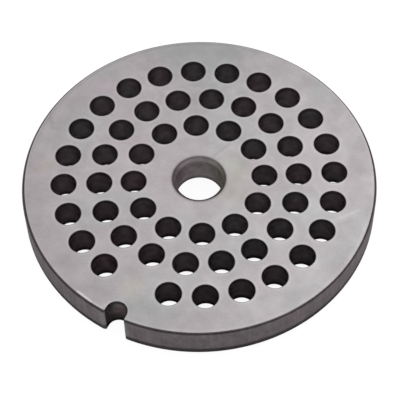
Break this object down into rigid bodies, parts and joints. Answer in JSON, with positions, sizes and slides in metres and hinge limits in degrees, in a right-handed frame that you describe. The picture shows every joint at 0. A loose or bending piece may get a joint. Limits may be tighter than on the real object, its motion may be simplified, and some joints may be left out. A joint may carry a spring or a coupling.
{
  "type": "meat grinder plate",
  "caption": "Flat round steel plate of a meat grinder, with rings of round holes, a chamfered centre bore and a locating notch in its rim.",
  "frame": {"origin": "middle of the plate's back face, on the bore's axis", "axes": "+Z along the bore's axis, out of the cutting face; the locating notch opens towards -Y"},
  "size_m": [0.062, 0.0619, 0.0064],
  "materials": {
    "ground_steel": "flat ground faces, satin and fairly bright; rim and notch left dark grey from hardening"
  },
  "bodies": {
    "root": {"plate": "ground_steel"}
  },
  "joints": []
}
